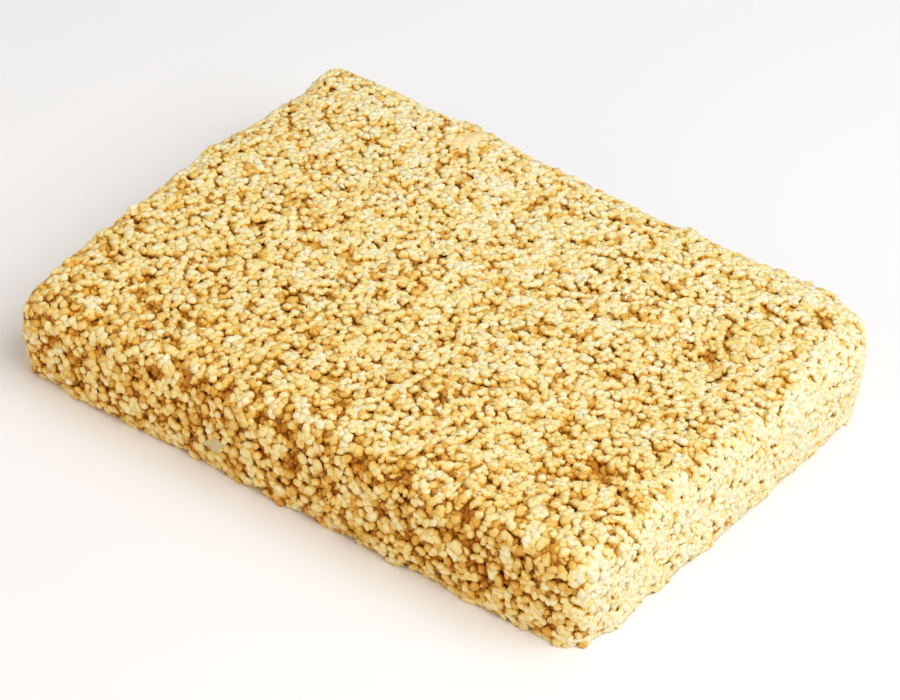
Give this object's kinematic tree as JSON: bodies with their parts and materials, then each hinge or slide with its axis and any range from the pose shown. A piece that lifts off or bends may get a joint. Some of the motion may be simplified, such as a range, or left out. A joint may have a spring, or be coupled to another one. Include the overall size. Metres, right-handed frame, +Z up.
{
  "type": "amaranth brittle",
  "caption": "Rectangular hand-pressed slab of popped amaranth grains bound with syrup, with grainy faces, rounded uneven edges and a flat underside.",
  "frame": {"origin": "centre of the slab's outer box, on its flat underside", "axes": "+X along the slab's length, +Y across its width, +Z up through its thickness"},
  "size_m": [0.108, 0.081, 0.018],
  "materials": {
    "popped_amaranth": null
  },
  "bodies": {
    "root": {"amaranth_brittle": "popped_amaranth"}
  },
  "joints": []
}
